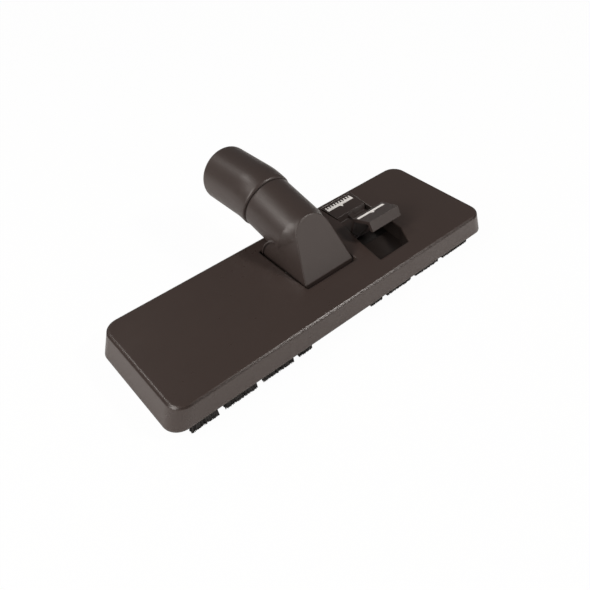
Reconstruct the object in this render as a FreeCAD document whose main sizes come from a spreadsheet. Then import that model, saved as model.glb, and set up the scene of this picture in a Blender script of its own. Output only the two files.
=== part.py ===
import FreeCAD, Part
import math
import os

import Sketcher
from FreeCAD import Placement, Rotation, Vector

# Vacuum floor tool: a wide flat head with a tilting neck, a swivel collar for the wand,
# a see-saw pedal that raises and lowers the bristles, and two small rear rollers.
# +X runs along the head, +Y to the rear, +Z up. z = 0 is the floor under the lowered bristles.

doc = FreeCAD.newDocument("FloorTool")


class Size:
    """A length or angle with the sheet expression that gives it, so a feature can be bound to it."""

    def __init__(self, number, text):
        self.number = number
        self.text = text

    @staticmethod
    def of(value):
        if isinstance(value, Size):
            return value
        return Size(float(value), "({:g})".format(value))

    def __add__(self, other):
        other = Size.of(other)
        return Size(self.number + other.number, "({} + {})".format(self.text, other.text))

    def __radd__(self, other):
        return Size.of(other) + self

    def __sub__(self, other):
        other = Size.of(other)
        return Size(self.number - other.number, "({} - {})".format(self.text, other.text))

    def __rsub__(self, other):
        return Size.of(other) - self

    def __mul__(self, other):
        other = Size.of(other)
        return Size(self.number * other.number, "({} * {})".format(self.text, other.text))

    def __rmul__(self, other):
        return Size.of(other) * self

    def __truediv__(self, other):
        other = Size.of(other)
        return Size(self.number / other.number, "({} / {})".format(self.text, other.text))

    def __neg__(self):
        return Size(-self.number, "(0 - {})".format(self.text))


class Sheet:
    """The driving dimensions, in millimetres and degrees, each under its alias."""

    def __init__(self, **values):
        self.sheet = doc.addObject("Spreadsheet::Sheet", "Sizes")
        for row, (alias, number) in enumerate(values.items(), start=1):
            self.sheet.set("A{}".format(row), alias)
            self.sheet.set("B{}".format(row), "{:g}".format(number))
            self.sheet.setAlias("B{}".format(row), alias)
            setattr(self, alias, Size(float(number), "Sizes.{}".format(alias)))
        doc.recompute()


S = Sheet(
    # Head
    head_length=280, head_depth=91, head_top=25.8, rim_height=8.5,
    end_slope=5.6, side_slope=0.6, corner_radius=11, wall=2.4, roof=2.2,
    lip_inset=0.8, lip_height=1.0, lip_round=0.7, overlap=0.5,
    # The head's middle lies this far behind the middle of the whole part
    head_middle=-27.47,
    # Sole
    sole_bottom=7.5, sole_thickness=2, sole_end_gap=11.6, sole_side_gap=8,
    sole_corner=6, window_half=6, slot_end_gap=28, slot_half_width=7.5, slot_round=3,
    mouth_half_width=22, mouth_front=-16.5, mouth_rear=20,
    # Duct above the sole
    duct_overhang=6, duct_half_width=11, duct_top=13, duct_wall=1.6,
    # Bristles and their carrier
    bar_gap=0.7, bar_width=4, bar_bottom=9.5, bar_top=15.2, bar_end_gap=15,
    arm_bottom=13.5, arm_width=6, arm_end_gap=28, left_arm_place=56.5, right_arm_gap=3.6,
    stub_front=12, stub_rear=18, stub_bottom=11.5, end_strip_top=13, bristle_inset=0.5,
    open_shift=12.5, open_half=27.5, short_segment=11, segment=24.5, segment_gap=5,
    end_strip_gap=7.4, end_strip_width=3.4, end_strip_front=-3, end_strip_rear=32,
    # Thread lifters beside the slot
    lifter_inner=10.5, lifter_width=4, lifter_proud=0.6, lifter_bed=1, lifter_end_gap=16,
    # Rollers
    roller_end_gap=42, roller_side_gap=7.5, roller_z=12.5, roller_radius=6, roller_width=12,
    axle_radius=1.5, running_gap=0.06, ear_thickness=2.4, ear_radius=3.2, side_gap=0.5,
    roller_chamfer=0.8,
    # Screws
    screw_end_gap=18, screw_side_gap=13.5, screw_radius=1.3, screw_head=2.9, screw_head_height=1.6,
    screw_reach=9, screw_slot_length=2, screw_slot_width=0.35, screw_slot_depth=0.7, boss_radius=3.6,
    # Neck pocket and pivot
    neck_from_end=133.5, pocket_half_width=22.6, pocket_front=-19.4, pocket_rear=33.5, skirt=1.6,
    skirt_bottom=14, pivot_y=7, pivot_z=19, pivot_pin_radius=2.6, pivot_boss=4.9,
    lobe_radius=7.2, boss_proud=2.4, pocket_round=1.2,
    seal_height=2, seal_gap=0.4, seal_lip=1, seal_front_lip=2.3,
    # Neck
    tube_radius=20, tube_bore=16.5, tube_rise=12.5, tube_height=39,
    shield_slope=59, shield_foot=-15.8, shield_foot_height=25.3, shield_half_width=21.4,
    shield_length=41.8, shield_lean=13, neck_wall=2.2, cheek_half_width=19.7, cheek_inner=17.5,
    hood_length=14, neck_skirt=3.8, rim_radius=26.6, rim_width=1.3, rim_proud=0.8,
    # Swivel
    seam_place=49.4, seam_gap=0.8, spigot_radius=18.4, spigot_length=13, swivel_gap=0.3,
    ring_place=7, ring_width=1.8, ring_depth=1.1, ring_split=3, seal_radius=19.6, seal_thickness=0.5,
    # Collar
    collar_radius=21, collar_lead=6, bend_radius=34, bend_angle=14, collar_length=36.8,
    socket_radius=17.5, socket_length=34, mouth_chamfer=1.2, collar_round=2,
    # Pedal recess: its plan is measured from the middle of the neck
    recess_rear_gap=4, recess_rear_left=42.7, recess_rear_right=74.3,
    recess_waist=17, recess_left_knee=-10, recess_left_knee_x=36.5,
    recess_right_knee=-16, recess_right_knee_x=69.7,
    recess_front_gap=7.2, recess_front_left=33.5, recess_front_right=62,
    scoop_radius=10.8, scoop_end=-3, recess_skirt=1.6, recess_bottom=14.7, recess_open_end=5.5,
    # Pedal
    pedal_gap=0.8, pedal_y=9, pedal_z=17.4, pedal_pin_radius=1.8, hub_radius=3.9,
    pad_front=-16, pad_front_bottom=37, pad_edge=-12, pad_edge_height=43.4,
    pad_back=4.4, pad_back_height=37.4, pad_left=40.9, pad_thickness=2.2, rear_pad_front=23.5,
    rear_pad_gap=1.1, rear_pad_height=26.2, valley_height=22,
    web_foot=7, lever_x=56.5, lever_thickness=4, lift_pin_gap=8.7, lever_drop=3.4,
    lever_wall=1.3, lever_bottom=9.6, lift_pin_radius=1.5, lift_slot_gap=0.35, lift_slot_travel=0.6,
    lug_thickness=2.6, lug_gap=0.4, lug_reach=3.5, lug_bottom=10.6, lug_top=16.6,
    pin_bite=0.8, pedal_pin_end=72.8, web_thickness=1.8, valley_rise=2,
)

# Places worked out from the driving dimensions
sole_top = S.sole_bottom + S.sole_thickness
ceiling = S.head_top - S.roof
half_length = S.head_length / 2
half_depth = S.head_depth / 2
neck_x = half_length - S.neck_from_end
sole_half_length = half_length - S.sole_end_gap
sole_half_depth = half_depth - S.sole_side_gap
slot_half_length = half_length - S.slot_end_gap
duct_half_length = slot_half_length + S.duct_overhang
lifter_half_length = slot_half_length - S.lifter_end_gap
bar_inner = sole_half_depth + S.bar_gap
bar_outer = bar_inner + S.bar_width
bar_half_length = half_length - S.bar_end_gap
end_strip_outer = half_length - S.end_strip_gap
end_strip_inner = end_strip_outer - S.end_strip_width
outer_arm_x = half_length - S.arm_end_gap
open_middle = neck_x - S.open_shift
roller_x = half_length - S.roller_end_gap
roller_y = sole_half_depth - S.roller_side_gap
screw_x = half_length - S.screw_end_gap
screw_y = sole_half_depth - S.screw_side_gap
pocket_left = neck_x - S.pocket_half_width
pocket_right = neck_x + S.pocket_half_width
left_arm_x = neck_x - S.left_arm_place
recess_rear_left = neck_x + S.recess_rear_left
recess_rear_right = neck_x + S.recess_rear_right
recess_left_knee_x = neck_x + S.recess_left_knee_x
recess_right_knee_x = neck_x + S.recess_right_knee_x
recess_front_left = neck_x + S.recess_front_left
recess_front_right = neck_x + S.recess_front_right
pad_left = neck_x + S.pad_left
pedal_pin_end = neck_x + S.pedal_pin_end
lever_x = neck_x + S.lever_x
right_arm_x = recess_rear_right + S.recess_skirt + S.right_arm_gap
lever_pin_y = bar_inner - S.lift_pin_gap
lug_front = lever_pin_y - S.lug_reach
recess_rear = half_depth - S.recess_rear_gap
recess_wall_end = recess_rear - S.recess_open_end
recess_front = S.recess_front_gap - bar_inner
rear_pad_back = recess_rear - S.rear_pad_gap
lever_pin_z = S.pedal_z - S.lever_drop
pedal_pin_left = pad_left - S.pin_bite

pieces = []


def named(feature, label):
    """Give a finished sub-part its label and the place of the head in the part's frame."""
    feature.Label = label
    feature.setExpression("Placement.Base.y", S.head_middle.text)
    pieces.append(feature)
    return feature


class Body:
    """A PartDesign body built up from sketches on its own origin planes."""

    def __init__(self, label):
        self.body = doc.addObject("PartDesign::Body", label)
        named(self.body, label)

    def sketch(self, plane, offset):
        sketch = self.body.newObject("Sketcher::SketchObject", "Sketch")
        support = [f for f in self.body.Origin.OriginFeatures if f.Role == plane][0]
        sketch.AttachmentSupport = (support, [""])
        sketch.MapMode = "FlatFace"
        sketch.setExpression("AttachmentOffset.Base.z", Size.of(offset).text)
        return sketch

    def volume(self):
        shape = self.body.Shape
        return 0.0 if shape.isNull() else shape.Volume

    def feature(self, kind, sketch, length, reverse=False):
        """Pad or pocket a sketch, and stop if the solid didn't grow or shrink as it should."""
        before = self.volume()
        feature = self.body.newObject("PartDesign::" + kind, kind)
        feature.Profile = sketch
        feature.Reversed = reverse
        feature.setExpression("Length", Size.of(length).text)
        sketch.Visibility = False
        doc.recompute()
        change = self.volume() - before
        if (kind == "Pad" and change <= 0) or (kind == "Pocket" and change >= 0):
            raise RuntimeError("{} of {} changed the volume by {:.3f}, {} {}".format(
                kind, self.body.Label, change, feature.State, feature.getStatusString()))
        return feature

    def block(self, x, y, z):
        """Add a box between three pairs of coordinates."""
        sketch = self.sketch("XY_Plane", z[0])
        rectangle(sketch, x, y)
        return self.feature("Pad", sketch, Size.of(z[1]) - z[0])

    def cut_block(self, x, y, z):
        sketch = self.sketch("XY_Plane", z[0])
        rectangle(sketch, x, y)
        return self.feature("Pocket", sketch, Size.of(z[1]) - z[0], reverse=True)

    def rounded_block(self, x, y, z, radius):
        sketch = self.sketch("XY_Plane", z[0])
        rounded_rectangle(sketch, x, y, radius)
        return self.feature("Pad", sketch, Size.of(z[1]) - z[0])

    def cut_rounded_block(self, x, y, z, radius):
        sketch = self.sketch("XY_Plane", z[0])
        rounded_rectangle(sketch, x, y, radius)
        return self.feature("Pocket", sketch, Size.of(z[1]) - z[0], reverse=True)

    def prism(self, points, z):
        """Add an upright prism on a plan outline."""
        sketch = self.sketch("XY_Plane", z[0])
        polygon(sketch, points)
        return self.feature("Pad", sketch, Size.of(z[1]) - z[0])

    def cut_prism(self, points, z):
        sketch = self.sketch("XY_Plane", z[0])
        polygon(sketch, points)
        return self.feature("Pocket", sketch, Size.of(z[1]) - z[0], reverse=True)

    def profile(self, points, x):
        """Add a side profile of (y, z) points, drawn out along X."""
        sketch = self.sketch("YZ_Plane", x[0])
        polygon(sketch, points)
        return self.feature("Pad", sketch, Size.of(x[1]) - x[0])

    def cut_profile(self, points, x):
        sketch = self.sketch("YZ_Plane", x[0])
        polygon(sketch, points)
        return self.feature("Pocket", sketch, Size.of(x[1]) - x[0], reverse=True)

    def rod(self, y, z, radius, x):
        """Add a round bar along X."""
        sketch = self.sketch("YZ_Plane", x[0])
        circle(sketch, y, z, radius)
        return self.feature("Pad", sketch, Size.of(x[1]) - x[0])

    def cross_hole(self, y, z, radius, x):
        """Cut a round hole along X."""
        sketch = self.sketch("YZ_Plane", x[0])
        circle(sketch, y, z, radius)
        return self.feature("Pocket", sketch, Size.of(x[1]) - x[0], reverse=True)

    def post(self, x, y, radius, z):
        """Add a round upright post."""
        sketch = self.sketch("XY_Plane", z[0])
        circle(sketch, x, y, radius)
        return self.feature("Pad", sketch, Size.of(z[1]) - z[0])

    def drill(self, x, y, radius, z):
        sketch = self.sketch("XY_Plane", z[0])
        circle(sketch, x, y, radius)
        return self.feature("Pocket", sketch, Size.of(z[1]) - z[0], reverse=True)

    def loft(self, low, high, subtract=False):
        """Loft between two rounded rectangles, each (half_x, half_y, z, radius) about the middle."""
        sketches = []
        for half_x, half_y, z, radius in (low, high):
            sketch = self.sketch("XY_Plane", z)
            rounded_rectangle(sketch, (-half_x, half_x), (-half_y, half_y), radius)
            sketches.append(sketch)
        kind = "SubtractiveLoft" if subtract else "AdditiveLoft"
        loft = self.body.newObject("PartDesign::" + kind, "Loft")
        loft.Profile = sketches[0]
        loft.Sections = [sketches[1]]
        loft.Ruled = True
        doc.recompute()
        return loft

    def dress(self, kind, chosen, amount):
        """Fillet or chamfer the edges that a test picks from the last feature."""
        base = self.body.Tip
        edges = [
            "Edge{}".format(number)
            for number, edge in enumerate(base.Shape.Edges, start=1)
            if chosen(edge)
        ]
        if not edges:
            raise RuntimeError("no edge to dress on " + self.body.Label)
        dressing = self.body.newObject("PartDesign::" + kind, kind)
        dressing.Base = (base, edges)
        dressing.setExpression("Radius" if kind == "Fillet" else "Size", amount.text)
        doc.recompute()
        return dressing


def place_point(sketch, geometry, point, x, y):
    """Fix a point of a sketch at a place given by two sizes."""
    x = Size.of(x)
    y = Size.of(y)
    for kind, size in (("DistanceX", x), ("DistanceY", y)):
        index = sketch.addConstraint(Sketcher.Constraint(kind, -1, 1, geometry, point, size.number))
        sketch.setExpression("Constraints[{}]".format(index), size.text)


def polygon(sketch, points):
    """A closed outline of straight lines through the points."""
    points = [(Size.of(x), Size.of(y)) for x, y in points]
    corners = [Vector(x.number, y.number, 0) for x, y in points]
    count = len(points)
    lines = [
        sketch.addGeometry(Part.LineSegment(corners[i], corners[(i + 1) % count]), False)
        for i in range(count)
    ]
    for i in range(count):
        following = lines[(i + 1) % count]
        sketch.addConstraint(Sketcher.Constraint("Coincident", lines[i], 2, following, 1))
        place_point(sketch, lines[i], 1, *points[i])


def rectangle(sketch, x, y):
    polygon(sketch, [(x[0], y[0]), (x[1], y[0]), (x[1], y[1]), (x[0], y[1])])


def circle(sketch, x, y, radius):
    x = Size.of(x)
    y = Size.of(y)
    radius = Size.of(radius)
    ring = sketch.addGeometry(
        Part.Circle(Vector(x.number, y.number, 0), Vector(0, 0, 1), radius.number), False
    )
    place_point(sketch, ring, 3, x, y)
    index = sketch.addConstraint(Sketcher.Constraint("Radius", ring, radius.number))
    sketch.setExpression("Constraints[{}]".format(index), radius.text)


def rounded_rectangle(sketch, x, y, radius):
    """A rectangle with round corners: four arcs joined by four tangent lines."""
    radius = Size.of(radius)
    x = [Size.of(value) for value in x]
    y = [Size.of(value) for value in y]
    middles = [
        (x[1] - radius, y[0] + radius, -90),
        (x[1] - radius, y[1] - radius, 0),
        (x[0] + radius, y[1] - radius, 90),
        (x[0] + radius, y[0] + radius, 180),
    ]
    arcs = []
    for middle_x, middle_y, start in middles:
        ring = Part.Circle(Vector(middle_x.number, middle_y.number, 0), Vector(0, 0, 1), radius.number)
        arc = Part.ArcOfCircle(ring, math.radians(start), math.radians(start + 90))
        arcs.append((sketch.addGeometry(arc, False), arc))
    for i in range(4):
        arc, curve = arcs[i]
        following, next_curve = arcs[(i + 1) % 4]
        line = sketch.addGeometry(Part.LineSegment(curve.EndPoint, next_curve.StartPoint), False)
        sketch.addConstraint(Sketcher.Constraint("Tangent", arc, 2, line, 1))
        sketch.addConstraint(Sketcher.Constraint("Tangent", line, 2, following, 1))
    for i in range(4):
        place_point(sketch, arcs[i][0], 3, middles[i][0], middles[i][1])
        if i:
            sketch.addConstraint(Sketcher.Constraint("Equal", arcs[0][0], arcs[i][0]))
    index = sketch.addConstraint(Sketcher.Constraint("Radius", arcs[0][0], radius.number))
    sketch.setExpression("Constraints[{}]".format(index), radius.text)


def quarter_hollow(sketch, front, bottom, radius):
    """A corner filled with a hollow quarter round: a wall, a floor and the arc between them."""
    front, bottom, radius = (Size.of(value) for value in (front, bottom, radius))
    corner = Vector(front.number, bottom.number, 0)
    middle = corner + Vector(radius.number, radius.number, 0)
    ring = Part.Circle(middle, Vector(0, 0, 1), radius.number)
    arc = Part.ArcOfCircle(ring, math.pi, 1.5 * math.pi)
    wall = sketch.addGeometry(Part.LineSegment(corner, arc.StartPoint), False)
    curve = sketch.addGeometry(arc, False)
    floor = sketch.addGeometry(Part.LineSegment(arc.EndPoint, corner), False)
    sketch.addConstraint(Sketcher.Constraint("Coincident", wall, 2, curve, 1))
    sketch.addConstraint(Sketcher.Constraint("Coincident", curve, 2, floor, 1))
    sketch.addConstraint(Sketcher.Constraint("Coincident", floor, 2, wall, 1))
    place_point(sketch, wall, 1, front, bottom)
    place_point(sketch, wall, 2, front, bottom + radius)
    place_point(sketch, floor, 1, front + radius, bottom)
    index = sketch.addConstraint(Sketcher.Constraint("Radius", curve, radius.number))
    sketch.setExpression("Constraints[{}]".format(index), radius.text)


def level(edge, z):
    """True for an edge that lies flat at a height."""
    return all(abs(v.Point.z - z) < 0.01 for v in edge.Vertexes) and abs(edge.BoundBox.ZLength) < 0.01


# Top cover: a shallow shell with sloping ends and a raised lip, the neck pocket and the pedal recess

def make_top_cover():
    cover = Body("top_cover")
    shoulder = S.head_top - S.lip_height
    top_half_length = half_length - S.end_slope
    top_half_depth = half_depth - S.side_slope
    cover.loft(
        (half_length, half_depth, S.rim_height, S.corner_radius),
        (top_half_length, top_half_depth, shoulder, S.corner_radius),
    )
    cover.loft(
        (half_length - S.wall, half_depth - S.wall, S.rim_height, S.corner_radius - S.wall),
        (top_half_length - S.wall, top_half_depth - S.wall, ceiling, S.corner_radius - S.wall),
        subtract=True,
    )
    lip_half_length = top_half_length - S.lip_inset
    lip_half_depth = top_half_depth - S.lip_inset
    cover.rounded_block(
        (-lip_half_length, lip_half_length),
        (-lip_half_depth, lip_half_depth),
        (shoulder, S.head_top),
        S.corner_radius - S.lip_inset,
    )
    cover.dress("Fillet", lambda edge: level(edge, S.head_top.number), S.lip_round)

    # Neck pocket with its skirt and the two pin bosses
    skirt_x = (pocket_left - S.skirt, pocket_right + S.skirt)
    skirt_y = (S.pocket_front - S.skirt, S.pocket_rear + S.skirt)
    cover.block(skirt_x, skirt_y, (S.skirt_bottom, ceiling + S.overlap))
    for side in (-1, 1):
        inner = neck_x + side * (S.pocket_half_width + S.skirt / 2)
        outer = neck_x + side * (S.pocket_half_width + S.skirt + S.boss_proud)
        span = (inner, outer) if side > 0 else (outer, inner)
        cover.rod(S.pivot_y, S.pivot_z, S.pivot_boss, span)
    cover.cut_rounded_block(
        (pocket_left, pocket_right),
        (S.pocket_front, S.pocket_rear),
        (S.skirt_bottom - 1, S.head_top + 1),
        S.pocket_round,
    )
    cover.cross_hole(
        S.pivot_y, S.pivot_z, S.pivot_pin_radius, (pocket_left - 6, pocket_right + 6)
    )

    # Pedal recess: side walls down into the head, a scooped floor in front, open below behind it
    cover.prism(
        recess_outline(S.recess_skirt, recess_wall_end),
        (S.recess_bottom - S.recess_skirt, ceiling + S.overlap),
    )
    cover.cut_prism(recess_outline(Size.of(0), recess_rear), (S.recess_bottom, S.head_top + 1))
    cover.cut_block(
        (recess_front_left - 8, recess_rear_right + 8),
        (S.scoop_end, recess_wall_end + 1),
        (S.recess_bottom - S.recess_skirt - 1, S.recess_bottom + 0.01),
    )
    scoop = cover.sketch("YZ_Plane", recess_front_left - 1)
    quarter_hollow(
        scoop, recess_front - S.overlap, S.recess_bottom - S.overlap, S.scoop_radius
    )
    cover.feature("Pad", scoop, recess_right_knee_x - recess_front_left + 1)
    cover.cross_hole(
        S.pedal_y, S.pedal_z, S.pedal_pin_radius, (recess_left_knee_x - 6, recess_rear_right + 6)
    )

    # Bosses for the four screws
    for x in (-screw_x, screw_x):
        for y in (-screw_y, screw_y):
            cover.post(x, y, S.boss_radius, (sole_top, ceiling + S.overlap))
            cover.drill(x, y, S.screw_radius, (sole_top - 1, sole_top + S.screw_reach))


def recess_outline(margin, rear):
    """The plan of the pedal recess, grown by a margin on its sides and front."""
    return [
        (recess_front_left - margin, recess_front - margin),
        (recess_front_right + margin, recess_front - margin),
        (recess_right_knee_x + margin, S.recess_right_knee),
        (recess_rear_right + margin, rear),
        (recess_rear_left - margin, rear),
        (recess_rear_left - margin, S.recess_waist),
        (recess_left_knee_x - margin, S.recess_left_knee),
    ]


# Sole plate: slot, mouth, roller windows and ears, beds for the thread lifters

def make_sole_plate():
    sole = Body("sole_plate")
    through = (S.sole_bottom - 1, sole_top + 1)
    sole.rounded_block(
        (-sole_half_length, sole_half_length),
        (-sole_half_depth, sole_half_depth),
        (S.sole_bottom, sole_top),
        S.sole_corner,
    )
    sole.cut_rounded_block(
        (-slot_half_length, slot_half_length),
        (-S.slot_half_width, S.slot_half_width),
        through,
        S.slot_round,
    )
    sole.cut_rounded_block(
        (neck_x - S.mouth_half_width, neck_x + S.mouth_half_width),
        (S.mouth_front, S.mouth_rear),
        through,
        S.slot_round,
    )
    for x in lifter_spans():
        for y in lifter_rows():
            sole.cut_block(x, y, (S.sole_bottom - 1, S.sole_bottom + S.lifter_bed))
    for side in (-1, 1):
        middle = side * roller_x
        window = S.roller_width / 2 + S.side_gap
        sole.cut_block(
            (middle - window, middle + window),
            (roller_y - S.window_half, roller_y + S.window_half),
            through,
        )
        for x in ((middle - window - S.ear_thickness, middle - window),
                  (middle + window, middle + window + S.ear_thickness)):
            sole.block(
                x,
                (roller_y - S.ear_radius, roller_y + S.ear_radius),
                (sole_top - S.overlap, S.roller_z),
            )
            sole.rod(roller_y, S.roller_z, S.ear_radius, x)
        reach = window + S.ear_thickness + 1
        sole.cross_hole(roller_y, S.roller_z, S.axle_radius, (middle - reach, middle + reach))
    for x in (-screw_x, screw_x):
        for y in (-screw_y, screw_y):
            sole.drill(x, y, S.screw_radius, through)
            sole.drill(x, y, S.screw_head, (S.sole_bottom - 1, S.sole_bottom + S.screw_head_height))


def lifter_spans():
    """The lengths of a thread lifter to the left and the right of the mouth."""
    clear = S.mouth_half_width + S.lifter_width
    return [(-lifter_half_length, neck_x - clear), (neck_x + clear, lifter_half_length)]


def lifter_rows():
    outer = S.lifter_inner + S.lifter_width
    return [(-outer, -S.lifter_inner), (S.lifter_inner, outer)]


def make_thread_lifters():
    for label, y in zip(("front_thread_lifter", "rear_thread_lifter"), lifter_rows()):
        lifter = Body(label)
        for x in lifter_spans():
            lifter.block(x, y, (S.sole_bottom - S.lifter_proud, S.sole_bottom + S.lifter_bed))


# Duct: a shallow trough over the slot, joined to the chamber under the neck

def make_suction_duct():
    duct = Body("suction_duct")
    chamber_x = (pocket_left - S.skirt, pocket_right + S.skirt)
    chamber_y = (S.pocket_front - S.skirt, S.pocket_rear + S.skirt)
    duct.block(
        (-duct_half_length, duct_half_length),
        (-S.duct_half_width, S.duct_half_width),
        (sole_top, S.duct_top),
    )
    duct.block(chamber_x, chamber_y, (sole_top, S.skirt_bottom))
    duct.cut_block(
        (S.duct_wall - duct_half_length, duct_half_length - S.duct_wall),
        (S.duct_wall - S.duct_half_width, S.duct_half_width - S.duct_wall),
        (sole_top - 1, S.duct_top - S.duct_wall),
    )
    duct.cut_block(
        (pocket_left, pocket_right),
        (S.pocket_front, S.pocket_rear),
        (sole_top - 1, S.skirt_bottom + 1),
    )


def make_neck_seal():
    """A frame of soft lips that closes the pocket round the neck's cheeks."""
    seal = Body("neck_seal")
    seal.rounded_block(
        (pocket_left, pocket_right),
        (S.pocket_front, S.pocket_rear),
        (S.skirt_bottom, S.skirt_bottom + S.seal_height),
        S.pocket_round,
    )
    reach = S.shield_half_width + S.seal_gap
    seal.cut_block(
        (neck_x - reach, neck_x + reach),
        (S.pocket_front + S.seal_front_lip, S.pocket_rear - S.seal_lip),
        (S.skirt_bottom - 1, S.skirt_bottom + S.seal_height + 1),
    )


# Pins, axles and screws

def make_pins():
    outer = S.pocket_half_width + S.skirt + S.boss_proud
    for label, x in (
        ("left_pivot_pin", (neck_x - outer, neck_x - S.cheek_inner)),
        ("right_pivot_pin", (neck_x + S.cheek_inner, neck_x + outer)),
    ):
        Body(label).rod(S.pivot_y, S.pivot_z, S.pivot_pin_radius, x)
    pin = Body("pedal_pin")
    pin.rod(S.pedal_y, S.pedal_z, S.pedal_pin_radius, (pedal_pin_left, pedal_pin_end))
    half = S.lever_thickness / 2 + S.lug_gap + S.lug_thickness
    pin = Body("lift_pin")
    pin.rod(lever_pin_y, lever_pin_z, S.lift_pin_radius, (lever_x - half, lever_x + half))


def make_rollers():
    for name, side in (("left", -1), ("right", 1)):
        middle = side * roller_x
        half = S.roller_width / 2
        roller = Body(name + "_roller")
        roller.rod(roller_y, S.roller_z, S.roller_radius, (middle - half, middle + half))
        roller.dress(
            "Chamfer",
            lambda edge: edge.Curve.TypeId == "Part::GeomCircle",
            S.roller_chamfer,
        )
        roller.cross_hole(
            roller_y, S.roller_z, S.axle_radius + S.running_gap, (middle - half - 1, middle + half + 1)
        )
        reach = half + S.side_gap + S.ear_thickness
        axle = Body(name + "_roller_axle")
        axle.rod(roller_y, S.roller_z, S.axle_radius, (middle - reach, middle + reach))


def make_screws():
    screws = Body("cover_screws")
    for x in (-screw_x, screw_x):
        for y in (-screw_y, screw_y):
            screws.post(x, y, S.screw_head, (S.sole_bottom, S.sole_bottom + S.screw_head_height))
            screws.post(x, y, S.screw_radius, (S.sole_bottom + S.overlap, sole_top + S.screw_reach - 1))
            screws.cut_block(
                (x - S.screw_slot_length, x + S.screw_slot_length),
                (y - S.screw_slot_width, y + S.screw_slot_width),
                (S.sole_bottom - 1, S.sole_bottom + S.screw_slot_depth),
            )


# Bristles and the carrier that slides up and down with them

def segment_spans():
    """The runs of bristle along a bar: a short one beside the open middle, then long ones
    as far as they fit, the last of which runs on to the bar's end."""
    spans = []
    least = S.segment_gap.number + S.short_segment.number
    for side in (-1, 1):
        end = side * bar_half_length
        near = open_middle + side * S.open_half
        length = S.short_segment
        while side * (end.number - near.number) > 0:
            far = near + side * length
            if side * (end.number - far.number) < least:
                far = end
            spans.append((near, far) if side > 0 else (far, near))
            near = far + side * S.segment_gap
            length = S.segment
    return spans


def make_bristles():
    for label, side in (("front_bristles", -1), ("rear_bristles", 1)):
        inner = side * (bar_inner + S.bristle_inset)
        outer = side * (bar_outer - S.bristle_inset)
        bristles = Body(label)
        for x in segment_spans():
            y = (inner, outer) if side > 0 else (outer, inner)
            bristles.block(x, y, (0, S.bar_bottom))
    for label, side in (("left_end_bristles", -1), ("right_end_bristles", 1)):
        inner = side * (end_strip_inner + S.bristle_inset)
        outer = side * (end_strip_outer - S.bristle_inset)
        x = (inner, outer) if side > 0 else (outer, inner)
        Body(label).block(
            x,
            (S.end_strip_front + S.bristle_inset, S.end_strip_rear - S.bristle_inset),
            (0, S.bar_bottom),
        )


def make_brush_carrier():
    carrier = Body("brush_carrier")
    bar_x = (-bar_half_length, bar_half_length)
    bar_z = (S.bar_bottom, S.bar_top)
    carrier.block(bar_x, (-bar_outer, -bar_inner), bar_z)
    for x in (-outer_arm_x, left_arm_x, right_arm_x, outer_arm_x):
        carrier.block(
            (x - S.arm_width / 2, x + S.arm_width / 2),
            (-bar_inner - S.overlap, bar_inner + S.overlap),
            (S.arm_bottom, S.bar_top),
        )
    carrier.block(bar_x, (bar_inner, bar_outer), bar_z)
    for side in (-1, 1):
        stub = (side * outer_arm_x, side * (end_strip_inner + S.overlap))
        strip = (side * end_strip_inner, side * end_strip_outer)
        if side < 0:
            stub = stub[::-1]
            strip = strip[::-1]
        carrier.block(stub, (S.stub_front, S.stub_rear), (S.stub_bottom, S.bar_top))
        carrier.block(
            strip, (S.end_strip_front, S.end_strip_rear), (S.bar_bottom, S.end_strip_top)
        )
    # Lugs that hold the lift pin on both sides of the pedal's lever
    near = S.lever_thickness / 2 + S.lug_gap
    far = near + S.lug_thickness
    for x in ((lever_x - far, lever_x - near), (lever_x + near, lever_x + far)):
        carrier.block(x, (lug_front, bar_inner + S.overlap), (S.lug_bottom, S.lug_top))
    carrier.cross_hole(
        lever_pin_y, lever_pin_z, S.lift_pin_radius, (lever_x - far - 1, lever_x + far + 1)
    )


# Pedal: a see-saw bent from one plate section, with a hub and the lever that lifts the carrier

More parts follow.
